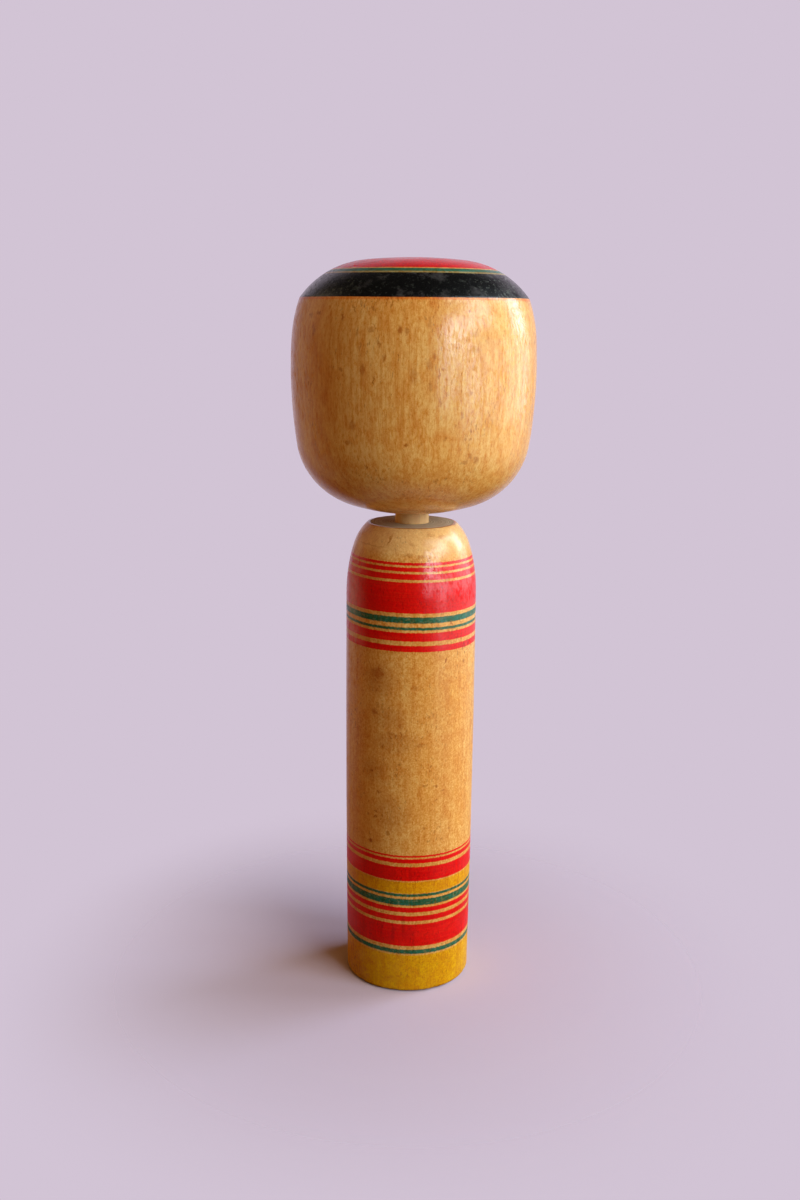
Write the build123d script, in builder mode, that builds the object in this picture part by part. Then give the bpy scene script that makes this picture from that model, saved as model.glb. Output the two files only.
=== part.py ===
from build123d import *

import os

# Kokeshi doll in millimetres, at rest: +Z up, origin in the middle of the base, turning axis along Z.
# The body and the head are turned from solid wood, and a straight dowel joins them.

# Body: a column with a slight swell, closing through a rounded shoulder to a flat neck face.
base_radius = 21.1
base_edge_radius = 1.2
base_dish_radius = 15.0
base_dish_depth = 0.6
swell_radius = 21.6
swell_height = 93.0
shoulder_radius = 21.5
shoulder_height = 135.8
slope_radius = 18.8
slope_height = 152.0
neck_face_radius = 14.5
neck_face_edge_radius = 1.0
body_height = 158.6

# Peg and its two blind sockets: the peg stands on the body's socket floor and carries the head's.
peg_radius = 5.5
peg_chamfer = 0.8
running_clearance = 0.05
socket_depth = 25.0
socket_chamfer = 0.3
socket_radius = peg_radius + running_clearance

# Head: each radius is given with its rise above the small flat round the socket's mouth.
neck_gap = 3.6
underside_flat_radius = 8.0
chin_radius = 21.0
chin_rise = 2.9
jaw_radius = 37.5
jaw_rise = 22.4
head_radius = 39.15
widest_rise = 45.2
temple_radius = 38.8
temple_rise = 55.4
hairline_radius = 36.2
hairline_rise = 67.7
crown_radius = 16.3
crown_rise = 79.3
head_height = 80.2

head_bottom = body_height + neck_gap
head_top = head_bottom + head_height
peg_bottom = body_height - socket_depth
peg_top = head_bottom + socket_depth

os.makedirs("parts", exist_ok=True)

# The side is one shallow arc, widest at the swell, and the shoulder is two arcs tangent to it.
with BuildPart() as body:
    with BuildSketch(Plane.XZ):
        with BuildLine():
            dish = TangentArc((0, base_dish_depth), (base_dish_radius, 0), tangent=(1, 0))
            foot = Line(dish @ 1, (base_radius, 0))
            side = ThreePointArc(foot @ 1, (swell_radius, swell_height), (shoulder_radius, shoulder_height))
            slope = TangentArc(side @ 1, (slope_radius, slope_height), tangent=side % 1)
            shoulder = TangentArc(slope @ 1, (neck_face_radius, body_height), tangent=slope % 1)
            neck_face = Line(shoulder @ 1, (0, body_height))
            Line(neck_face @ 1, dish @ 0)
        make_face()
    revolve(axis=Axis.Z)
    base_edge = body.edges().filter_by(GeomType.CIRCLE).group_by(Axis.Z)[0].sort_by(SortBy.RADIUS)[-1]
    fillet(base_edge, radius=base_edge_radius)
    neck_face_edge = body.edges().filter_by(GeomType.CIRCLE).sort_by(Axis.Z)[-1]
    fillet(neck_face_edge, radius=neck_face_edge_radius)
    with Locations((0, 0, body_height)):
        Hole(radius=socket_radius, depth=socket_depth)
    socket_mouth = body.edges().filter_by(GeomType.CIRCLE).group_by(Axis.Z)[-1].sort_by(SortBy.RADIUS)[0]
    chamfer(socket_mouth, length=socket_chamfer)

with BuildPart() as neck_peg:
    with Locations((0, 0, peg_bottom)):
        Cylinder(radius=peg_radius, height=peg_top - peg_bottom, align=(Align.CENTER, Align.CENTER, Align.MIN))
    chamfer(neck_peg.edges().filter_by(GeomType.CIRCLE), length=peg_chamfer)

# From the widest ring one chain of tangent arcs runs down to the underside and another up to the hairline.
# The crown is a flatter dome of two arcs, and it meets the side in a soft corner at the hairline.
with BuildPart() as head:
    widest = (head_radius, head_bottom + widest_rise)
    hairline = (hairline_radius, head_bottom + hairline_rise)
    with BuildSketch(Plane.XZ):
        with BuildLine():
            cheek = TangentArc(widest, (jaw_radius, head_bottom + jaw_rise), tangent=(0, -1))
            jaw = TangentArc(cheek @ 1, (chin_radius, head_bottom + chin_rise), tangent=cheek % 1)
            underside = TangentArc(jaw @ 1, (underside_flat_radius, head_bottom), tangent=jaw % 1)
            flat = Line(underside @ 1, (0, head_bottom))
            temple = TangentArc(widest, (temple_radius, head_bottom + temple_rise), tangent=(0, 1))
            TangentArc(temple @ 1, hairline, tangent=temple % 1)
            crown = TangentArc((0, head_top), (crown_radius, head_bottom + crown_rise), tangent=(1, 0))
            TangentArc(crown @ 1, hairline, tangent=crown % 1)
            Line(crown @ 0, flat @ 1)
        make_face()
    revolve(axis=Axis.Z)
    with Locations((0, 0, head_bottom)):
        Cylinder(
            radius=socket_radius,
            height=socket_depth,
            align=(Align.CENTER, Align.CENTER, Align.MIN),
            mode=Mode.SUBTRACT,
        )
    head_mouth = head.edges().filter_by(GeomType.CIRCLE).group_by(Axis.Z)[0].sort_by(SortBy.RADIUS)[0]
    chamfer(head_mouth, length=socket_chamfer)

body.part.label = "body"
neck_peg.part.label = "neck_peg"
head.part.label = "head"
export_step(body.part, "parts/body.step")
export_step(neck_peg.part, "parts/neck_peg.step")
export_step(head.part, "parts/head.step")
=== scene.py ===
import math

import bpy
from mathutils import Matrix, Vector, noise


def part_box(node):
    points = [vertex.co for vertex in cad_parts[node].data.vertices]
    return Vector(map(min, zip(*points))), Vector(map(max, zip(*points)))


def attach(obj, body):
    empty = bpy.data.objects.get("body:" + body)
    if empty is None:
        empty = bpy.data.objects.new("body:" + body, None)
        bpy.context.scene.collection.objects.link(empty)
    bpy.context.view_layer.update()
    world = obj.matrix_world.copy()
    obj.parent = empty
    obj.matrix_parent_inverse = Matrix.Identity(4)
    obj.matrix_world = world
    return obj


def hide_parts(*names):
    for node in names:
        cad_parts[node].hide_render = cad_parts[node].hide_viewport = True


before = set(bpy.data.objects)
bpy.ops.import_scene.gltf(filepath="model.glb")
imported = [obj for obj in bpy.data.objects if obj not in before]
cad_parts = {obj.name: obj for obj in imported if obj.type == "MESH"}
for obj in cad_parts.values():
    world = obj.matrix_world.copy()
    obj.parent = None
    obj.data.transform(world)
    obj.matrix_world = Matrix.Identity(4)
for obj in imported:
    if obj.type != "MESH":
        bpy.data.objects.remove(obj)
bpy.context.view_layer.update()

# A kokeshi doll: three turned pieces of wood, each drawn here as an outline of radius and height
# in millimetres and spun round the Z axis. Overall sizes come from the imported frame.
MM = 0.001
SEGMENTS = 256
SHARP_ANGLE = 35.0

body_low, body_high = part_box("body")
head_low, head_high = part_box("head")
peg_low, peg_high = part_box("neck_peg")

NECK_FACE = body_high.z / MM
HEAD_BOTTOM = head_low.z / MM
HEAD_TOP = head_high.z / MM
HEAD_RADIUS = head_high.x / MM
PEG_RADIUS = peg_high.x / MM
PEG_BOTTOM = peg_low.z / MM
PEG_TOP = peg_high.z / MM
SOCKET_RADIUS = PEG_RADIUS + 0.05
SOCKET_CHAMFER = 0.3
PEG_CHAMFER = 0.8

BASE_RADIUS = 21.1
BASE_EDGE = 1.2
FOOT_FLARE = 0.0107
DISH_RADIUS = 15.0
DISH_DEPTH = 0.6
NECK_FACE_RADIUS = 14.5
NECK_FACE_EDGE = 1.0
SWELL_RADIUS, SWELL = 21.5, 135.8
SHOULDER_RADIUS, SHOULDER = 18.8, 152.0

CHIN_RADIUS = 8.0
JAW_RADIUS, JAW = 21.0, HEAD_BOTTOM + 2.9
CHEEK_RADIUS, CHEEK = 37.5, HEAD_BOTTOM + 22.4
HEAD_WIDEST = HEAD_BOTTOM + 45.2
TEMPLE_RADIUS, TEMPLE = 38.8, HEAD_BOTTOM + 55.4
HAIRLINE_RADIUS, HAIRLINE = 36.2, HEAD_BOTTOM + 67.7
CROWN_RADIUS, CROWN = 16.3, HEAD_BOTTOM + 79.3

# Lathe marks and wear in the surfaces, in millimetres.
OVAL = 0.05
WAVE = 0.035
RIDGE = 0.006
GROOVE = 0.045
GROOVE_PITCH = 0.62

# Dents: (azimuth in degrees from the front towards the right, height, half size, depth).
BODY_DENTS = (
    (-37, 53.5, 0.9, 0.14), (24, 97.0, 1.4, 0.08), (48, 75.0, 1.1, 0.08), (-70, 105.0, 1.6, 0.10),
    (118, 64.0, 1.3, 0.12), (165, 112.0, 1.8, 0.10), (-140, 84.0, 1.2, 0.12), (205, 30.0, 1.4, 0.10),
    (-48, 0.7, 1.0, 0.30), (-12, 0.4, 0.7, 0.18), (27, 0.8, 1.3, 0.26), (71, 0.5, 0.8, 0.22),
    (112, 0.7, 1.1, 0.30), (158, 0.4, 0.9, 0.20), (214, 0.8, 1.4, 0.28), (262, 0.5, 0.8, 0.24),
    (-22, 158.4, 0.7, 0.14), (41, 158.5, 0.9, 0.18), (133, 158.4, 0.8, 0.16), (226, 158.5, 1.0, 0.18),
)
HEAD_DENTS = (
    (-66, 236.0, 0.8, 0.14), (-62, 235.6, 0.7, 0.16), (-58, 235.2, 0.6, 0.12), (40, 232.0, 1.0, 0.10),
    (52, 231.2, 0.8, 0.10), (12, 183.0, 1.4, 0.10), (-30, 208.0, 1.6, 0.06), (75, 190.0, 1.2, 0.10),
    (140, 215.0, 1.8, 0.12), (188, 196.0, 1.3, 0.12), (-125, 204.0, 1.5, 0.10), (-160, 230.5, 1.0, 0.14),
)

# The floor has a hole under the doll, hidden by its base, so that the base is lit from below.
FLOOR_HOLE = 19.0
FLOOR_GAP = 0.2


# ---------------------------------------------------------------- outlines

class Outline:
    """A chain of lines and arcs in (radius, height), each arc leaving in the last direction."""

    def __init__(self, radius, height, direction):
        self.points = [Vector((radius, height))]
        self.direction = Vector(direction).normalized()

    def line(self, radius, height, step=1.0):
        start = self.points[-1]
        run = Vector((radius, height)) - start
        count = max(1, math.ceil(run.length / step))
        self.points += [start + run * (i / count) for i in range(1, count + 1)]
        self.direction = run.normalized()
        return self

    def arc(self, radius, height, step=0.8):
        start = self.points[-1]
        chord = Vector((radius, height)) - start
        along = chord.dot(self.direction)
        left = Vector((-self.direction.y, self.direction.x))
        aside = chord.dot(left)
        turn = 2.0 * math.atan2(aside, along)
        bend = chord.length_squared / (2.0 * aside)
        centre = start + left * bend
        count = max(6, math.ceil(abs(turn * bend) / step))
        for i in range(1, count + 1):
            self.points.append(centre + turned(start - centre, turn * i / count))
        self.direction = turned(self.direction, turn)
        return self

    def fillet(self, direction, radius):
        """Rounds the last point, where the outline is about to leave in a new direction."""
        corner = self.points[-1]
        leaving = Vector(direction).normalized()
        cut = radius * math.tan(self.direction.angle(leaving) / 2.0)
        while (self.points[-1] - corner).length <= cut:
            self.points.pop()
        self.points.append(corner - self.direction * cut)
        end = corner + leaving * cut
        return self.arc(end.x, end.y, step=0.15)

    def facing(self, radius, height):
        """Makes the next arc leave in this direction."""
        self.direction = Vector((radius, height)).normalized()
        return self


def turned(vector, angle):
    """A flat vector turned to the left by an angle in radians."""
    cosine, sine = math.cos(angle), math.sin(angle)
    return Vector((vector.x * cosine - vector.y * sine, vector.x * sine + vector.y * cosine))


def body_outline():
    """From the middle of the hollow base out, up the side, over the shoulder and into the socket."""
    outline = Outline(0.0, DISH_DEPTH, (1.0, 0.0))
    outline.arc(DISH_RADIUS, 0.0, step=0.5)
    outline.line(BASE_RADIUS, 0.0, step=0.4).fillet((FOOT_FLARE, 1.0), BASE_EDGE)
    outline.facing(FOOT_FLARE, 1.0).arc(SWELL_RADIUS, SWELL)
    outline.arc(SHOULDER_RADIUS, SHOULDER).arc(NECK_FACE_RADIUS, NECK_FACE)
    outline.fillet((-1.0, 0.0), NECK_FACE_EDGE)
    outline.line(SOCKET_RADIUS + SOCKET_CHAMFER, NECK_FACE, step=0.15)
    outline.line(SOCKET_RADIUS, NECK_FACE - SOCKET_CHAMFER, step=0.1)
    outline.line(SOCKET_RADIUS, PEG_BOTTOM, step=2.0)
    points = outline.line(0.0, PEG_BOTTOM, step=1.0).points
    grooved(points, 0.0, DISH_RADIUS + 0.5, BASE_RADIUS - BASE_EDGE)
    return grooved(points, NECK_FACE, SOCKET_RADIUS + 1.0, NECK_FACE_RADIUS - NECK_FACE_EDGE)


def head_outline():
    """From the socket's end down and out under the chin, up the side and in over the crown."""
    lower = Outline(HEAD_RADIUS, HEAD_WIDEST, (0.0, -1.0))
    lower.arc(CHEEK_RADIUS, CHEEK).arc(JAW_RADIUS, JAW).arc(CHIN_RADIUS, HEAD_BOTTOM)
    lower.line(SOCKET_RADIUS + SOCKET_CHAMFER, HEAD_BOTTOM, step=0.3)
    lower.line(SOCKET_RADIUS, HEAD_BOTTOM + SOCKET_CHAMFER, step=0.1)
    lower.line(SOCKET_RADIUS, PEG_TOP, step=2.0).line(0.0, PEG_TOP)
    upper = Outline(HEAD_RADIUS, HEAD_WIDEST, (0.0, 1.0))
    upper.arc(TEMPLE_RADIUS, TEMPLE).arc(HAIRLINE_RADIUS, HAIRLINE)
    crown = Outline(0.0, HEAD_TOP, (1.0, 0.0))
    crown.arc(CROWN_RADIUS, CROWN).arc(HAIRLINE_RADIUS, HAIRLINE)
    return lower.points[:0:-1] + upper.points[:-1] + crown.points[::-1]


def peg_outline():
    """From the middle of the lower end out, up the side and in over the upper end."""
    outline = Outline(0.0, PEG_BOTTOM, (1.0, 0.0))
    outline.line(PEG_RADIUS - PEG_CHAMFER, PEG_BOTTOM, step=0.5)
    outline.line(PEG_RADIUS, PEG_BOTTOM + PEG_CHAMFER, step=0.2)
    outline.line(PEG_RADIUS, PEG_TOP - PEG_CHAMFER, step=0.8)
    outline.line(PEG_RADIUS - PEG_CHAMFER, PEG_TOP, step=0.2)
    return outline.line(0.0, PEG_TOP, step=0.5).points


def grooved(points, height, inner, outer):
    """Cuts the fine uneven grooves of a turning tool into the flat face at a height."""
    for point in points:
        if abs(point.y - height) < 0.01 and inner < point.x < outer:
            phase = math.tau * point.x / GROOVE_PITCH + 1.3 * math.sin(1.7 * point.x)
            depth = GROOVE * (0.5 + 0.5 * math.sin(phase))
            point.y += depth if height == 0.0 else -depth
    return points


def uneven(point, dents):
    """Moves a point of an outer face: slightly oval, with slow waves, fine ridges and dents."""
    angle = math.atan2(point.y, point.x)
    shift = OVAL * math.cos(2.0 * angle)
    shift += WAVE * noise.noise(Vector((math.cos(angle), math.sin(angle), 0.06 * point.z)) * 1.6)
    shift += RIDGE * noise.noise(Vector((0.0, 0.0, 0.9 * point.z)))
    radius = math.hypot(point.x, point.y)
    for azimuth, height, size, depth in dents:
        a = math.radians(azimuth)
        dent = Vector((radius * math.sin(a), -radius * math.cos(a), height))
        shift -= depth * math.exp(-(point - dent).length_squared / size ** 2)
    return point + Vector((point.x, point.y, 0.0)) / radius * shift


def swept(rings, dents=None):
    """Vertices and faces of the rings, given as (radius, height), joined one to the next."""
    vertices = []
    for ring in rings:
        for i in range(SEGMENTS):
            angle = math.tau * i / SEGMENTS
            point = Vector((ring.x * math.cos(angle), ring.x * math.sin(angle), ring.y))
            if dents and ring.x > SOCKET_RADIUS + 2.0:
                point = uneven(point, dents)
            vertices.append(point * MM)
    faces = []
    for ring in range(len(rings) - 1):
        low = ring * SEGMENTS
        high = low + SEGMENTS
        for i in range(SEGMENTS):
            after = (i + 1) % SEGMENTS
            faces.append((low + i, low + after, high + after, high + i))
    return vertices, faces


def spin(name, points, dents, body, node, material):
    """A closed mesh of the outline spun round Z, riding on a body in place of a CAD node."""
    vertices, faces = swept(points[1:-1], dents)
    vertices.append(Vector((0.0, 0.0, points[0].y * MM)))
    vertices.append(Vector((0.0, 0.0, points[-1].y * MM)))
    first, last = len(vertices) - 2, len(vertices) - 1
    top = first - SEGMENTS
    for i in range(SEGMENTS):
        after = (i + 1) % SEGMENTS
        faces.append((first, after, i))
        faces.append((top + i, top + after, last))
    mesh = bpy.data.meshes.new(name)
    mesh.from_pydata(vertices, [], faces)
    mesh.shade_smooth()
    mesh.set_sharp_from_angle(angle=math.radians(SHARP_ANGLE))
    mesh.materials.append(material)
    piece = bpy.data.objects.new(name, mesh)
    bpy.context.scene.collection.objects.link(piece)
    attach(piece, body)
    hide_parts(node)


# ---------------------------------------------------------------- materials

# Colours of surfaces.
WOOD_LIGHT = (0.86, 0.565, 0.200)
WOOD_MIDDLE = (0.82, 0.475, 0.133)
# A paler wood mixed onto the shoulder: a painted sheen, not the wood's own colour.
SHEEN_PAINTED_WOOD = (0.94, 0.69, 0.32)
GREY_WOOD = (0.60, 0.60, 0.48)
RAW_WOOD = (0.98, 0.70, 0.34)
BLACK = (0.003, 0.003, 0.003)
DUST = (0.16, 0.15, 0.15)
# Pale dabs on the black: scuffs, and near the sides a painted sheen.
SCUFF_AND_SHEEN = (0.10, 0.115, 0.095)

# Colours that are multiplied over the wood: age, dirt, dyes.
AGE = (0.80, 0.50, 0.12)
SPECK = (0.50, 0.30, 0.16)
STAIN = (0.57, 0.32, 0.115)
WORN = (0.72, 0.68, 0.60)
RED_DYE = (1.0, 0.002, 0.002)
OCHRE_DYE = (0.97, 0.90, 0.004)
GREEN_DYE = (0.020, 0.32, 0.72)
CROWN_GREEN = (0.03, 0.40, 1.0)
CROWN_GOLD = (0.45, 0.68, 1.00)
ORANGE_LINE = (1.0, 0.55, 0.35)


class Graph:
    """A node tree, with a call for each kind of node that the finishes and the world use."""

    def __init__(self, owner, shader):
        owner.use_nodes = True
        self.tree = owner.node_tree
        self.shader = self.tree.nodes[shader]

    def node(self, kind, inputs=None, **settings):
        node = self.tree.nodes.new("ShaderNode" + kind)
        for key, value in settings.items():
            setattr(node, key, value)
        for key, value in (inputs or {}).items():
            self.feed(node.inputs[key], value)
        return node

    def feed(self, socket, value):
        if isinstance(value, bpy.types.NodeSocket):
            self.tree.links.new(value, socket)
        else:
            socket.default_value = value

    def math(self, operation, first, second=0.0, third=0.0):
        inputs = {0: first, 1: second, 2: third}
        return self.node("Math", inputs, operation=operation).outputs[0]

    def vector(self, operation, first, second=(0.0, 0.0, 0.0), scale=1.0):
        node = self.node("VectorMath", {0: first, 1: second, 3: scale}, operation=operation)
        return node.outputs["Vector"]

    def noise(self, vector, detail=2.0, roughness=0.5):
        inputs = {"Vector": vector, "Scale": 1.0, "Detail": detail, "Roughness": roughness}
        return self.node("TexNoise", inputs).outputs[0]

    def step(self, value, low, high):
        """0 where value is under low and 1 where it is over high; the other way if low is over high."""
        inputs = {"Value": value, "From Min": low, "From Max": high}
        return self.node("MapRange", inputs, interpolation_type="SMOOTHSTEP").outputs[0]

    def spread(self, value, low, high):
        """A 0 to 1 value taken to run from low to high."""
        return self.node("MapRange", {"Value": value, "To Min": low, "To Max": high}).outputs[0]

    def mix(self, factor, first, second, blend="MIX"):
        node = self.node("Mix", data_type="RGBA", blend_type=blend)
        self.feed(node.inputs[0], factor)
        self.feed(node.inputs[6], rgba(first))
        self.feed(node.inputs[7], rgba(second))
        return node.outputs[2]


class Finish(Graph):
    """A new material's tree, which knows the place on the doll in millimetres."""

    def __init__(self, name):
        self.material = bpy.data.materials.new(name)
        super().__init__(self.material, "Principled BSDF")
        object_point = self.node("TexCoord").outputs["Object"]
        self.point = self.vector("SCALE", object_point, scale=1.0 / MM)
        parts = self.node("SeparateXYZ", {0: self.point})
        self.across = parts.outputs["X"]
        self.inward = parts.outputs["Y"]
        self.height = parts.outputs["Z"]
        flat = self.vector("MULTIPLY", self.point, (1.0, 1.0, 0.0))
        self.radius = self.node("VectorMath", {0: flat}, operation="LENGTH").outputs["Value"]

    def stretched(self, x, y, z, shift=(0.0, 0.0, 0.0)):
        """The point in other units along each axis, moved so that no two patterns line up."""
        inputs = {0: self.point, 1: (x, y, z), 2: shift}
        return self.node("VectorMath", inputs, operation="MULTIPLY_ADD").outputs["Vector"]


def rgba(color):
    """A colour of three numbers as Blender wants it; anything else as it is."""
    return (*color, 1.0) if isinstance(color, tuple) and len(color) == 3 else color


def wood(g, pith, shift, streaky=1.0, speckled=0.0, fibrous=1.0):
    """The colour and relief of aged wood, fibres along Z, growth rings round a pith at (x, y).

    The shift moves the patterns, so that no two pieces have the same grain.
    """
    across = g.math("POWER", g.math("SUBTRACT", g.across, pith[0]), 2.0)
    inward = g.math("POWER", g.math("SUBTRACT", g.inward, pith[1]), 2.0)
    distance = g.math("SQRT", g.math("ADD", across, inward))
    sway = g.noise(g.stretched(0.03, 0.03, 0.012, (shift, 0.0, 0.0)), detail=1.0)
    distance = g.math("ADD", distance, g.math("MULTIPLY", sway, 9.0))
    rings = g.node("TexNoise", {"W": distance, "Scale": 0.8, "Detail": 2.0}, noise_dimensions="1D")
    patches = g.noise(g.stretched(0.045, 0.045, 0.030, (shift, shift, 0.0)), detail=3.0)
    mottle = g.noise(g.stretched(0.32, 0.32, 0.17 / fibrous, (0.0, shift, shift)), detail=2.0, roughness=0.7)
    grain = g.noise(g.stretched(1.25, 1.25, 0.65 / fibrous, (shift, 0.0, 0.0)), detail=3.0, roughness=1.0)
    speckle = g.noise(g.stretched(1.9, 1.9, 1.5, (0.0, shift, 0.0)), detail=1.0)
    streaks = g.noise(g.stretched(0.90, 0.90, 0.030, (0.0, shift, 0.0)), detail=3.0, roughness=0.9)
    crowding = g.noise(g.stretched(0.10, 0.10, 0.08, (0.0, shift, -shift)), detail=2.0)
    flecks = g.noise(g.stretched(1.2, 1.2, 0.40 / fibrous, (0.0, 0.0, shift)), detail=2.0, roughness=0.6)
    pores = g.noise(g.stretched(2.1, 2.1, 0.75, (shift, 0.0, shift)), detail=2.0)

    color = g.mix(g.step(patches, 0.36, 0.66), WOOD_LIGHT, WOOD_MIDDLE)
    color = g.mix(g.spread(g.step(mottle, 0.40, 0.72), 0.0, 0.45), color, AGE, "MULTIPLY")
    color = g.mix(g.step(grain, 0.38, 0.74), color, AGE, "MULTIPLY")
    color = g.mix(g.spread(g.step(speckle, 0.34, 0.66), 0.0, speckled), color, AGE, "MULTIPLY")
    color = g.mix(g.spread(g.step(streaks, 0.38, 0.66), 0.0, 0.50 * streaky), color, AGE, "MULTIPLY")
    color = g.mix(g.spread(g.step(rings.outputs[0], 0.45, 0.70), 0.0, 0.20), color, AGE, "MULTIPLY")
    edge = g.math("SUBTRACT", 0.86, g.math("MULTIPLY", crowding, 0.38))
    flecks = g.step(g.math("SUBTRACT", flecks, edge), -0.02, 0.06)
    color = g.mix(g.math("MULTIPLY", flecks, 0.55), color, SPECK, "MULTIPLY")
    pores = g.step(g.math("SUBTRACT", pores, edge), 0.00, 0.08)
    color = g.mix(g.math("MULTIPLY", pores, 0.50), color, SPECK, "MULTIPLY")
    relief = g.math("MULTIPLY", grain, 0.02)
    relief = g.math("ADD", relief, g.math("MULTIPLY", streaks, 0.010))
    relief = g.math("SUBTRACT", relief, g.math("MULTIPLY", pores, 0.012))
    return color, relief


# Stains as seen from the front, in millimetres and degrees:
# (across, up, half width, half height, lean to the right, strength).
BODY_STAINS = (
    (11.5, 116.5, 0.25, 1.1, 22, 0.90), (-10.5, 112.0, 2.6, 2.3, 0, 0.75),
    (1.5, 108.0, 1.2, 0.8, 0, 0.35),
    (-11.5, 99.0, 1.1, 1.1, 0, 0.70), (-10.5, 101.5, 0.8, 1.1, 0, 0.40), (-3.0, 95.0, 1.4, 1.3, 0, 0.45),
    (-5.5, 92.0, 2.3, 1.0, 15, 0.60), (-2.0, 91.5, 1.6, 0.9, 0, 0.50), (3.5, 88.5, 1.9, 0.8, 0, 0.45),
    (-1.0, 88.0, 1.8, 0.8, 0, 0.45), (-8.5, 88.0, 1.6, 1.3, 0, 0.40), (13.0, 98.0, 0.3, 0.3, 0, 0.90),
    (7.5, 98.5, 0.5, 0.8, 0, 0.40), (-12.5, 78.5, 0.6, 0.5, 0, 0.85), (5.0, 74.5, 0.6, 0.6, 0, 0.65),
    (9.0, 74.0, 0.6, 0.6, 0, 0.75), (11.0, 72.0, 0.5, 0.4, 0, 0.55), (-10.0, 71.5, 0.8, 0.5, 0, 0.65),
    (-15.0, 69.5, 0.5, 0.4, 0, 0.60), (9.0, 69.0, 0.5, 0.4, 0, 0.60), (-11.0, 64.5, 0.4, 0.4, 0, 0.85),
    (-11.0, 62.5, 0.6, 0.5, 0, 0.90), (-9.0, 62.0, 0.5, 0.5, 0, 0.65), (-13.5, 63.0, 0.5, 0.5, 0, 0.55),
    (-7.0, 57.5, 0.8, 0.9, 0, 0.75), (-12.5, 53.5, 0.6, 0.7, 0, 1.00), (5.0, 59.5, 0.4, 0.4, 0, 0.60),
    (13.5, 58.0, 0.5, 0.5, 0, 0.55), (-3.0, 64.0, 3.4, 4.0, 0, 0.30), (-7.0, 155.0, 0.35, 1.7, 24, 0.75),
    (-13.0, 153.0, 5.0, 0.2, 3, 0.40), (-1.0, 150.8, 1.6, 0.6, 0, 0.55), (3.0, 150.3, 1.3, 0.6, 0, 0.45),
    (0.0, 154.0, 1.0, 0.5, 30, 0.30), (6.0, 156.5, 1.5, 0.5, 0, 0.40), (9.5, 156.0, 1.2, 0.6, 0, 0.40),
    (-4.5, 44.0, 0.7, 2.6, 0, 0.45), (1.0, 43.0, 0.5, 2.4, 0, 0.35), (-3.5, 38.5, 0.6, 2.2, 0, 0.40),
    (-15.0, 21.0, 0.6, 3.0, 0, 0.30), (4.0, 9.0, 0.4, 4.0, 0, 0.35), (-3.0, 4.5, 5.0, 2.0, 0, 0.25),
    (-10.0, 110.0, 4.5, 5.5, 0, 0.40), (-6.0, 97.0, 5.5, 4.0, 0, 0.30), (-4.0, 89.5, 7.0, 4.0, 0, 0.35),
    (-6.0, 64.0, 5.5, 6.0, 0, 0.35), (-12.0, 79.0, 3.5, 4.0, 0, 0.25), (-9.0, 42.0, 6.0, 5.0, 0, 0.30),
    (-5.0, 22.0, 0.5, 4.0, 0, 0.60), (-1.5, 24.0, 0.6, 5.0, 0, 0.50), (2.0, 20.0, 0.4, 4.0, 0, 0.40),
    (-9.0, 22.0, 0.6, 3.0, 0, 0.35), (-5.5, 33.0, 0.6, 3.0, 0, 0.45), (7.0, 43.0, 0.4, 2.6, 0, 0.30),
)
HEAD_STAINS = (
    (-17.5, 226.5, 0.3, 1.4, -12, 0.80), (-21.0, 224.0, 0.5, 1.4, 6, 0.70),
    (-12.5, 220.5, 1.0, 0.8, 0, 0.65), (-11.5, 221.5, 0.3, 0.9, -25, 0.60),
    (-16.5, 220.0, 0.4, 1.4, 0, 0.60), (-15.5, 216.0, 0.4, 0.8, 0, 0.65),
    (-10.0, 216.0, 0.4, 0.9, 10, 0.65), (-8.5, 212.5, 0.5, 1.4, 12, 0.65), (-4.0, 220.5, 0.7, 1.1, 0, 0.80),
    (-2.0, 220.0, 0.6, 1.1, 0, 0.70), (-4.5, 213.5, 0.3, 0.3, 0, 0.80), (-11.5, 206.0, 0.3, 1.4, 0, 0.85),
    (-15.0, 209.0, 0.8, 1.7, 0, 0.50), (-30.0, 220.0, 0.4, 1.6, 0, 0.60), (-28.5, 225.0, 0.7, 0.6, 0, 0.65),
    (-31.0, 224.5, 0.6, 0.9, 0, 0.60), (-21.5, 209.0, 0.7, 0.5, 0, 0.55), (16.0, 226.0, 0.4, 0.4, 0, 0.85),
    (4.5, 222.5, 0.6, 1.7, 0, 0.45), (6.0, 213.0, 0.5, 1.1, 0, 0.60), (4.5, 210.5, 1.0, 1.4, 0, 0.40),
    (0.0, 207.5, 1.3, 2.3, 0, 0.45), (7.5, 207.5, 0.3, 0.9, 0, 0.70), (8.5, 209.5, 0.5, 0.4, 0, 0.55),
    (17.5, 210.5, 0.4, 1.4, 0, 0.40), (17.0, 202.5, 0.5, 0.6, 0, 0.65), (8.0, 200.0, 0.3, 1.5, 0, 0.60),
    (14.5, 196.0, 0.3, 1.7, 0, 0.60), (18.0, 215.0, 1.2, 1.2, 0, 0.35), (17.5, 219.5, 1.3, 0.9, 0, 0.40),
    (5.0, 204.5, 0.5, 1.5, 0, 0.50), (-2.0, 187.5, 0.7, 0.5, 0, 0.85), (-18.0, 192.5, 1.0, 1.5, 0, 0.50),
    (-19.5, 187.5, 1.0, 0.7, 0, 0.50), (17.0, 184.0, 0.5, 0.9, 0, 0.70), (19.0, 182.5, 0.7, 1.1, 0, 0.60),
    (15.5, 182.0, 1.1, 0.7, 0, 0.50), (7.0, 176.5, 0.7, 0.5, 0, 0.60), (-3.0, 176.0, 0.4, 0.5, 0, 0.60),
    (17.0, 189.0, 0.5, 0.6, 0, 0.55),
)


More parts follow.
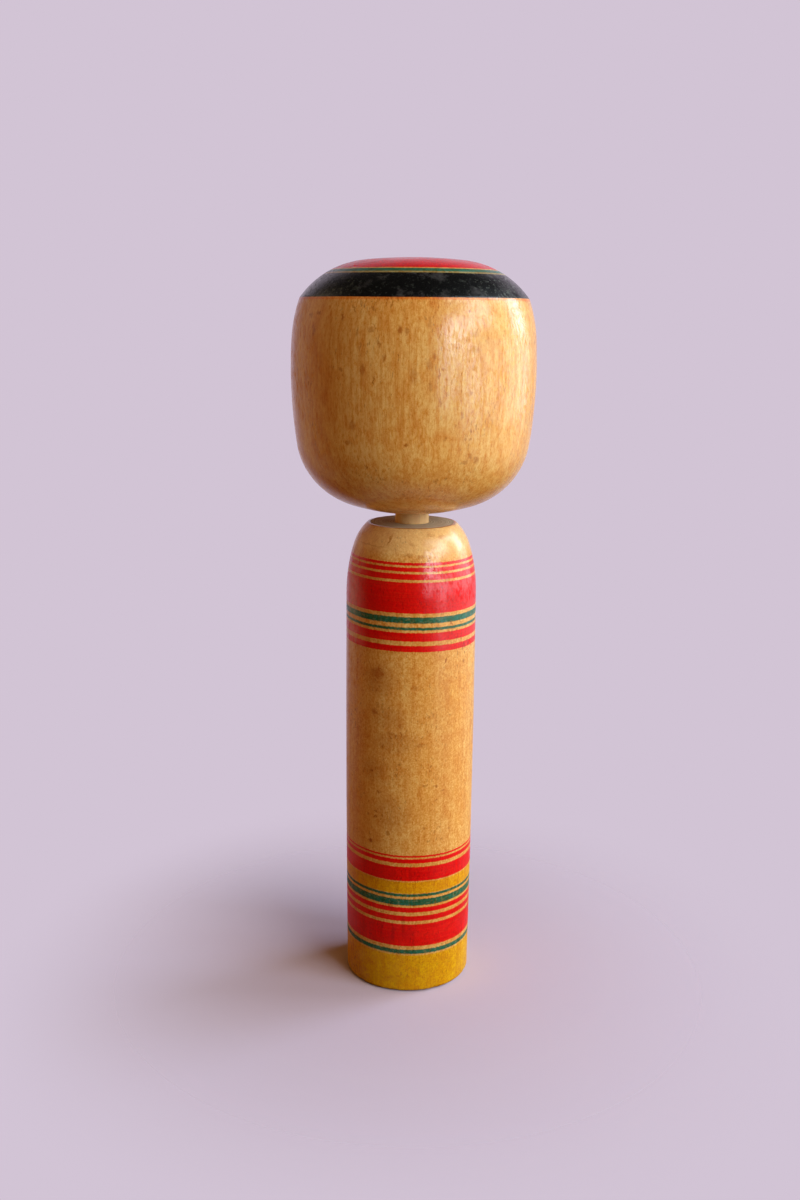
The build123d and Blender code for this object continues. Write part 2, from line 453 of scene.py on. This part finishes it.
def stained(g, color, stains):
    """Darkens soft, ragged spots on the front; each is repeated straight behind it on the back."""
    ragged = g.node("TexNoise", {"Vector": g.point, "Scale": 0.9, "Detail": 2.0}).outputs["Color"]
    ragged = g.vector("SUBTRACT", ragged, (0.5, 0.5, 0.5))
    place = g.vector("ADD", g.point, g.vector("SCALE", ragged, scale=1.6))
    cover = 0.0
    for across, up, width, height, lean, strength in stains:
        offset = g.vector("SUBTRACT", place, (across, 0.0, up))
        if lean:
            turn = {"Vector": offset, "Angle": math.radians(-lean)}
            offset = g.node("VectorRotate", turn, rotation_type="Y_AXIS").outputs[0]
        offset = g.vector("MULTIPLY", offset, (1.0 / width, 0.0, 1.0 / height))
        reach = g.node("VectorMath", {0: offset}, operation="LENGTH").outputs["Value"]
        spot = g.math("MULTIPLY", g.step(reach, 1.4, 0.4), strength)
        cover = g.math("MAXIMUM", cover, spot)
    return g.mix(cover, color, STAIN, "MULTIPLY")


def ring(g, height, low, high, soft=0.12):
    """How much of a painted ring between two heights covers this point."""
    over = g.step(height, low - soft, low + soft)
    under = g.step(height, high + soft, high - soft)
    return g.math("MULTIPLY", over, under)


# The body's rings from the top: (lower edge, upper edge, dye).
BODY_RINGS = (
    (147.85, 148.75, RED_DYE), (145.95, 147.25, RED_DYE), (143.40, 145.25, RED_DYE),
    (132.65, 142.60, RED_DYE), (129.45, 131.45, GREEN_DYE), (127.20, 128.10, GREEN_DYE),
    (123.50, 126.35, RED_DYE), (120.05, 122.10, RED_DYE), (49.45, 50.10, RED_DYE),
    (47.35, 48.85, RED_DYE), (41.00, 46.10, RED_DYE), (36.50, 40.60, OCHRE_DYE),
    (35.35, 36.30, GREEN_DYE), (32.20, 34.45, GREEN_DYE), (29.65, 31.40, RED_DYE),
    (26.45, 28.40, RED_DYE), (17.25, 25.35, RED_DYE), (14.40, 15.90, GREEN_DYE),
    (-1.0, 13.80, OCHRE_DYE),
)

# The rings were painted a little out of level: down by so many millimetres, and more to the right.
RING_DROP = 0.17
RING_LEAN = 0.0125
RING_WOBBLE = 0.3
RING_BLEED = 0.55
THINNEST_PAINT = 0.965
GREEN_WEAR = 0.18

# Paint on the crown. It goes by radius, so it counts only above a height that leaves the chin out.
# A ring has an inner and an outer radius, an edge the radii where the paint begins and is full.
CROWN_PAINT_HEIGHT = 224.0
CROWN_GOLD_RING = (28.00, 29.00)
CROWN_GREEN_RING = (26.65, 28.10)
CROWN_RED_EDGE = (26.25, 26.05)
CROWN_BLACK_EDGE = (28.70, 28.95)
CROWN_BLEED = 0.2
HAIRLINE_EDGE = 0.75

VARNISH_ROUGHNESS = 0.19
VARNISH_IOR = 1.50
VARNISH_RIPPLE = 0.012
SMUDGED_ROUGHNESS = (0.40, 0.60)
BARE_ROUGHNESS = 0.85
PEG_ROUGHNESS = 0.7

# Heights: above the rings the shoulder is mixed paler, a painted sheen on the upturned wood, and further
# down it keeps less varnish.
PAINTED_SHEEN_HEIGHTS = (149.0, 153.0)
PAINTED_SHEEN_SHARE = 0.28
WORN_VARNISH = (25.0, 150.0)
LEAST_VARNISH = 0.25


def finished(g, color, relief, roughness, varnish, specular=0.05):
    """Sets the shader; the varnish is a rippled film, and where it is 0 the wood is bare."""
    g.feed(g.shader.inputs["Base Color"], color)
    g.feed(g.shader.inputs["Roughness"], roughness)
    g.feed(g.shader.inputs["Specular IOR Level"], specular)
    g.feed(g.shader.inputs["Coat Weight"], varnish)
    g.feed(g.shader.inputs["Coat Roughness"], VARNISH_ROUGHNESS)
    g.feed(g.shader.inputs["Coat IOR"], VARNISH_IOR)
    bump = g.node("Bump", {"Height": relief, "Distance": MM})
    g.feed(g.shader.inputs["Normal"], bump.outputs[0])
    ripple = g.noise(g.stretched(2.0, 2.0, 1.5, (0.0, 5.0, 0.0)), detail=1.0)
    film = g.math("ADD", relief, g.math("MULTIPLY", ripple, VARNISH_RIPPLE))
    film_bump = g.node("Bump", {"Height": film, "Distance": MM})
    g.feed(g.shader.inputs["Coat Normal"], film_bump.outputs[0])
    return g.material


def gloss(g):
    """The varnish: dull in patches and rubbed through in specks."""
    patches = g.step(g.noise(g.stretched(0.09, 0.09, 0.07, (0.0, 0.0, 9.0)), detail=3.0), 0.35, 0.60)
    specks = g.step(g.noise(g.stretched(1.6, 1.6, 0.50, (9.0, 0.0, 0.0)), detail=2.0), 0.44, 0.66)
    rubbed = g.math("MULTIPLY", g.spread(specks, 0.0, 0.85), g.spread(patches, 0.30, 1.0))
    return g.math("SUBTRACT", 1.0, rubbed)


def lathe_marks(g, color):
    """Rings of lighter and darker wood round the axis of a bare end face."""
    rings = g.node("TexNoise", {"W": g.radius, "Scale": 2.2, "Detail": 3.0}, noise_dimensions="1D")
    return g.mix(g.step(rings.outputs[0], 0.35, 0.65), color, WORN, "MULTIPLY")


def varnished(g, bare):
    """How much varnish there is: none where the wood is bare."""
    return g.math("MULTIPLY", gloss(g), g.math("SUBTRACT", 1.0, bare))


def handled(g, bare):
    """The roughness: smudged by hands where varnished, and rough where bare."""
    smudge = g.noise(g.stretched(0.2, 0.2, 0.2, (1.0, 0.0, 0.0)), detail=4.0)
    return g.mix(bare, g.spread(smudge, *SMUDGED_ROUGHNESS), (BARE_ROUGHNESS,) * 3)


def in_socket(g):
    """Near enough to the axis to be the wall of a socket."""
    return g.step(g.radius, SOCKET_RADIUS + 0.5, SOCKET_RADIUS + 0.4)


def bled(g, place, amount):
    """A height or radius, moved unevenly round the doll, as dye runs along the fibres."""
    bleed = g.noise(g.stretched(2.4, 2.4, 0.05, (7.0, 0.0, 0.0)), detail=2.0)
    return g.math("ADD", place, g.math("MULTIPLY", g.math("SUBTRACT", bleed, 0.5), amount))


def painting_height(g):
    """The height by which the body's rings were painted: bled, wavering and out of level."""
    wobble = g.noise(g.stretched(0.06, 0.06, 0.02, (0.0, 7.0, 0.0)), detail=1.0)
    wobble = g.math("MULTIPLY", g.math("SUBTRACT", wobble, 0.5), RING_WOBBLE)
    height = g.math("ADD", bled(g, g.height, RING_BLEED), wobble)
    return g.math("ADD", height, g.math("MULTIPLY_ADD", g.across, RING_LEAN, RING_DROP))


def body_rings(g, color, height):
    """The painted rings, a little streaky, the green ones worn in places."""
    streak = g.noise(g.stretched(0.05, 0.05, 2.2, (0.0, 0.0, 5.0)), detail=3.0)
    cover = g.spread(g.step(streak, 0.25, 0.62), THINNEST_PAINT, 1.0)
    wear = g.step(g.noise(g.stretched(0.8, 0.8, 1.2, (0.0, 9.0, 0.0)), detail=3.0), 0.50, 0.72)
    worn = g.math("SUBTRACT", cover, g.math("MULTIPLY", wear, GREEN_WEAR))
    for low, high, dye in BODY_RINGS:
        mask = g.math("MULTIPLY", ring(g, height, low, high), worn if dye == GREEN_DYE else cover)
        color = g.mix(mask, color, dye, "MULTIPLY")
    return color


def grimy_rim(g, color):
    """Darkens the edge of the neck face."""
    near_top = g.step(g.height, NECK_FACE - 0.4, NECK_FACE - 0.2)
    rim = g.math("MULTIPLY", ring(g, g.radius, NECK_FACE_RADIUS - 0.8, NECK_FACE_RADIUS), near_top)
    return g.mix(g.math("MULTIPLY", rim, 0.8), color, STAIN, "MULTIPLY")


def bare_body(g):
    """Where the body has neither paint nor varnish: its neck face, its base and its socket."""
    top = g.step(g.height, NECK_FACE - 0.12, NECK_FACE - 0.08)
    face = g.math("MULTIPLY", top, g.step(g.radius, NECK_FACE_RADIUS - 0.6, NECK_FACE_RADIUS - 0.9))
    under = g.step(g.height, 0.10, 0.02)
    return g.math("MAXIMUM", g.math("MAXIMUM", face, under), in_socket(g))


def body_finish():
    g = Finish("painted_varnished_wood")
    color, relief = wood(g, (34.0, 46.0), 3.0, 0.70, 0.50, 0.70)
    height = painting_height(g)
    # The shoulder above the rings is mixed paler: a painted sheen on the upturned wood.
    pale = g.spread(g.step(height, *PAINTED_SHEEN_HEIGHTS), 0.0, PAINTED_SHEEN_SHARE)
    color = body_rings(g, g.mix(pale, color, SHEEN_PAINTED_WOOD), height)
    color = grimy_rim(g, stained(g, color, BODY_STAINS))
    bare = bare_body(g)
    color = g.mix(bare, color, lathe_marks(g, g.mix(0.75, color, GREY_WOOD)))
    kept = g.spread(g.step(g.height, *WORN_VARNISH), LEAST_VARNISH, 1.0)
    varnish = g.math("MULTIPLY", varnished(g, bare), kept)
    return finished(g, color, relief, handled(g, bare), varnish)


def crown_paint(g, color):
    """The crown, painted from the hairline in: orange line, black, gold, green and a red disc."""
    top = g.step(g.height, CROWN_PAINT_HEIGHT, CROWN_PAINT_HEIGHT + 0.1)
    radius = bled(g, g.radius, CROWN_BLEED)
    black = g.step(g.radius, HAIRLINE_RADIUS + 0.05, HAIRLINE_RADIUS - 0.05)
    black = g.math("MULTIPLY", g.math("MULTIPLY", top, black), g.step(radius, *CROWN_BLACK_EDGE))
    for edges, dye in ((CROWN_GOLD_RING, CROWN_GOLD), (CROWN_GREEN_RING, CROWN_GREEN)):
        color = g.mix(g.math("MULTIPLY", top, ring(g, radius, *edges)), color, dye, "MULTIPLY")
    edge = ring(g, g.height, HAIRLINE - HAIRLINE_EDGE, HAIRLINE, 0.2)
    color = g.mix(g.math("MULTIPLY", edge, 0.8), color, ORANGE_LINE, "MULTIPLY")
    disc = g.math("MULTIPLY", top, g.step(radius, *CROWN_RED_EDGE))
    color = g.mix(disc, color, RED_DYE, "MULTIPLY")
    return g.mix(black, color, lacquer(g))


def head_finish():
    g = Finish("painted_varnished_head")
    color, relief = wood(g, (-30.0, 60.0), 11.0, 1.3, 0.15, 1.25)
    color = crown_paint(g, stained(g, color, HEAD_STAINS))
    bare = g.math("MULTIPLY", in_socket(g), g.step(g.height, HEAD_TOP - 10.0, HEAD_TOP - 20.0))
    return finished(g, color, relief, handled(g, bare), varnished(g, bare))


def lacquer(g):
    """Black, with pale dabs: rubbed scuffs all round, and, massed near the sides, a painted sheen."""
    aside = g.math("ABSOLUTE", g.across)
    # The dabs gather towards the sides: a painted sheen there, over real scuffs.
    sheen_at_sides = g.spread(g.step(aside, 12.0, 30.0), 0.20, 1.0)
    scuff_and_sheen_dabs = g.noise(g.stretched(0.85, 0.85, 0.85, (3.0, 0.0, 0.0)), detail=2.0, roughness=0.6)
    scuff_and_sheen_dabs = g.math("MULTIPLY", g.step(scuff_and_sheen_dabs, 0.54, 0.70), sheen_at_sides)
    haze = g.noise(g.stretched(0.16, 0.16, 0.16, (0.0, 3.0, 0.0)), detail=4.0, roughness=0.7)
    haze = g.math("MULTIPLY", g.step(haze, 0.48, 0.70), 0.25)
    color = g.mix(haze, BLACK, DUST)
    return g.mix(g.math("MULTIPLY", scuff_and_sheen_dabs, 0.75), color, SCUFF_AND_SHEEN)


def peg_finish():
    g = Finish("raw_turned_wood")
    color, relief = wood(g, (3.0, 9.0), 17.0, 1.5)
    color = g.mix(0.6, color, RAW_WOOD)
    return finished(g, color, relief, PEG_ROUGHNESS, 0.0, specular=0.2)


# ---------------------------------------------------------------- studio

# Camera, in metres and degrees, with the lens on a 36 mm sensor along the picture's height.
CAMERA_LENS = 37.28
CAMERA_DISTANCE = 0.40434
CAMERA_HEIGHT = 0.22404
CAMERA_PITCH = 12.814
CAMERA_YAW = -0.525
CAMERA_ROLL = 0.514

# Lamps aim at a height in metres. The sheen lamps are nearer than the windows, because a lamp
# that lies in the plane of another isn't mirrored.
LAMP_AIM = 0.13
WINDOW_DISTANCE = 1.2
SHEEN_DISTANCE = 1.1


def make_camera():
    data = bpy.data.cameras.new("camera")
    data.sensor_width = 36.0
    data.lens = CAMERA_LENS
    data.clip_start = 0.01
    data.clip_end = 20.0
    camera = bpy.data.objects.new("camera", data)
    bpy.context.scene.collection.objects.link(camera)
    pitch = math.radians(CAMERA_PITCH)
    yaw = math.radians(CAMERA_YAW)
    roll = math.radians(CAMERA_ROLL)
    ahead, aside = math.cos(yaw) * math.cos(pitch), math.sin(yaw) * math.cos(pitch)
    forward = Vector((aside, ahead, -math.sin(pitch)))
    level = Vector((math.cos(yaw), -math.sin(yaw), 0.0))
    upright = level.cross(forward)
    right = level * math.cos(roll) + upright * math.sin(roll)
    up = upright * math.cos(roll) - level * math.sin(roll)
    axes = Matrix((right, up, -forward)).transposed()
    place = Matrix.Translation((0.0, -CAMERA_DISTANCE, CAMERA_HEIGHT))
    camera.matrix_world = place @ axes.to_4x4()
    bpy.context.scene.camera = camera


def soft_box(name, azimuth, elevation, distance, width, height, brightness, color, sheen=False):
    """A lamp aimed at the doll; azimuth 0 is in front, 90 to the right; brightness 1 is white.

    Either it lights the colour of surfaces, or it is a sheen lamp, seen only in the varnish.
    """
    data = bpy.data.lights.new(name, "AREA")
    data.shape = "RECTANGLE"
    data.size = width
    data.size_y = height
    data.energy = math.pi * width * height * brightness
    data.color = color
    lamp = bpy.data.objects.new(name, data)
    bpy.context.scene.collection.objects.link(lamp)
    a, e = math.radians(azimuth), math.radians(elevation)
    away = Vector((math.sin(a) * math.cos(e), -math.cos(a) * math.cos(e), math.sin(e)))
    lamp.location = Vector((0.0, 0.0, LAMP_AIM)) + away * distance
    lamp.rotation_mode = "QUATERNION"
    lamp.rotation_quaternion = away.to_track_quat("Z", "Y")
    lamp.visible_camera = False
    lamp.visible_diffuse = not sheen
    lamp.visible_glossy = sheen


# (name, azimuth, elevation, width, height, brightness, colour).
WINDOWS = (
    ("window_left", 42.0, 18.5, 0.50, 0.42, 9.4, (0.86, 1.0, 1.10)),
    ("window_middle", 66.0, 29.0, 0.38, 0.38, 8.6, (0.78, 1.0, 1.24)),
    ("window_top", 96.0, 37.0, 0.24, 0.26, 10.0, (0.90, 1.0, 1.12)),
    ("window_right", 115.0, 22.0, 0.40, 0.48, 10.8, (0.82, 1.0, 1.26)),
    ("window_low", 88.0, 1.2, 2.0, 0.34, 2.2, (0.94, 1.0, 1.10)),
)
# (name, azimuth, elevation, width, height, brightness).
SHEENS = (
    ("sheen_left", 42.0, 18.5, 0.46, 0.38, 6.5),
    ("sheen_middle", 66.0, 28.0, 0.46, 0.38, 5.4),
    ("sheen_top", 96.0, 37.0, 0.22, 0.24, 6.7),
    ("sheen_right", 114.0, 21.0, 0.36, 0.44, 7.4),
    ("sheen_gap", 31.0, 7.0, 0.32, 0.50, 4.1),
    ("sheen_sill", 54.0, -3.0, 0.34, 0.36, 2.3),
    ("sheen_low", 88.0, 1.2, 2.0, 0.34, 1.8),
    ("sheen_sky", 60.0, 46.0, 0.85, 0.34, 2.8),
)

BACKGROUND = (0.644, 0.552, 0.665)
AMBIENT = (0.140, 0.064, 0.018)
FRONT_OF_ROOM = (0.03, 0.025, 0.02)
BRIGHT_WALL = (0.86, 0.96, 1.06)
WARM_WALL = (0.70, 0.56, 0.40)
SHEEN = (0.80, 0.96, 1.10)
FLOOR_BOUNCE = (0.11, 0.07, 0.04)
FLOOR_FADE = (0.03, 0.15)


def make_world():
    """Pale to the camera, and a weak warm ambience as light on the doll.

    The varnish mirrors a room that is pale behind the doll and dim in front of it, with a bright
    wall on the right and a warm one behind on the left.
    """
    world = bpy.data.worlds.new("studio")
    bpy.context.scene.world = world
    g = Graph(world, "Background")
    path = g.node("LightPath")
    toward = g.node("TexCoord").outputs["Generated"]
    aside, behind, above = g.node("SeparateXYZ", {0: toward}).outputs
    wall = g.math("MULTIPLY", g.step(aside, 0.50, 0.85), g.step(above, -0.72, -0.25))
    mirrored = g.mix(g.step(behind, 0.55, 0.98), FRONT_OF_ROOM, BACKGROUND)
    mirrored = g.mix(wall, mirrored, BRIGHT_WALL)
    glow = g.math("MULTIPLY", g.step(aside, -0.50, -0.85), g.step(behind, -0.20, 0.60))
    mirrored = g.mix(glow, mirrored, WARM_WALL)
    shiny = g.math("MAXIMUM", path.outputs["Is Glossy Ray"], path.outputs["Is Transmission Ray"])
    color = g.mix(shiny, AMBIENT, mirrored)
    color = g.mix(path.outputs["Is Camera Ray"], color, BACKGROUND)
    g.feed(g.shader.inputs["Color"], color)


def make_floor():
    """A pale disc that fades into the background far out and can be seen through from below."""
    g = Finish("pale_floor")
    path = g.node("LightPath")
    seen = g.math("MAXIMUM", path.outputs["Is Camera Ray"], path.outputs["Is Glossy Ray"])
    seen = g.math("MAXIMUM", seen, path.outputs["Is Transmission Ray"])
    g.feed(g.shader.inputs["Base Color"], g.mix(seen, FLOOR_BOUNCE, BACKGROUND))
    g.feed(g.shader.inputs["Roughness"], 1.0)
    g.feed(g.shader.inputs["Specular IOR Level"], 0.0)
    clear = g.step(g.radius, FLOOR_FADE[0] / MM, FLOOR_FADE[1] / MM)
    clear = g.math("MAXIMUM", clear, g.node("NewGeometry").outputs["Backfacing"])
    see_through = g.node("BsdfTransparent").outputs[0]
    blend = g.node("MixShader", {0: clear, 1: g.shader.outputs[0], 2: see_through})
    g.feed(g.tree.nodes["Material Output"].inputs["Surface"], blend.outputs[0])
    outline = Outline(FLOOR_FADE[1] / MM, -FLOOR_GAP, (-1.0, 0.0))
    vertices, faces = swept(outline.line(FLOOR_HOLE, -FLOOR_GAP, step=50.0).points)
    mesh = bpy.data.meshes.new("floor")
    mesh.from_pydata(vertices, [], faces)
    mesh.materials.append(g.material)
    floor = bpy.data.objects.new("floor", mesh)
    bpy.context.scene.collection.objects.link(floor)


make_camera()
make_world()
make_floor()
spin("turned_body", body_outline(), BODY_DENTS, "body", "body", body_finish())
spin("turned_head", head_outline(), HEAD_DENTS, "head", "head", head_finish())
spin("turned_neck_peg", peg_outline(), None, "neck_peg", "neck_peg", peg_finish())

for name, azimuth, elevation, width, height, brightness, color in WINDOWS:
    soft_box(name, azimuth, elevation, WINDOW_DISTANCE, width, height, brightness, color)
soft_box("warm_fill", -108.0, -4.0, 1.2, 0.9, 0.9, 1.30, (1.0, 0.55, 0.20))
soft_box("room", 42.0, 38.0, 1.3, 0.9, 0.9, 1.95, (1.0, 0.72, 0.42))
soft_box("bounce", 66.0, -34.0, 1.0, 0.6, 0.6, 1.35, (1.0, 0.90, 0.70))
for name, azimuth, elevation, width, height, brightness in SHEENS:
    soft_box(name, azimuth, elevation, SHEEN_DISTANCE, width, height, brightness, SHEEN, sheen=True)

bpy.context.scene.view_settings.view_transform = "Standard"
